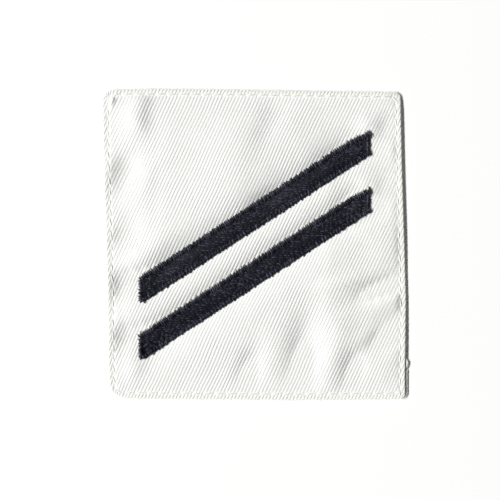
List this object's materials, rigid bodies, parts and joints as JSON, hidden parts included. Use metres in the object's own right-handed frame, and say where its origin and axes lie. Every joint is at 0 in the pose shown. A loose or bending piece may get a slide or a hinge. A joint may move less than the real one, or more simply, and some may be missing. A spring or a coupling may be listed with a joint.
{
  "type": "rank patch",
  "caption": "Square cloth rank patch of hemmed white twill with slanting bars embroidered in dark navy thread, to be sewn on a sleeve.",
  "frame": {"origin": "on the surface that the patch lies on, under the middle of its whole outline", "axes": "+Z out of the face of the patch, +Y up the patch, +X to its right, with the bars climbing towards +X"},
  "size_m": [0.0846, 0.0854, 0.0045],
  "materials": {
    "white_twill": "bleached cotton twill with a steep diagonal rib",
    "navy_thread": "close embroidery in dark navy thread with a slight sheen"
  },
  "bodies": {
    "root": {"ground_cloth": "white_twill", "bar_upper": "navy_thread", "bar_lower": "navy_thread"}
  },
  "joints": []
}
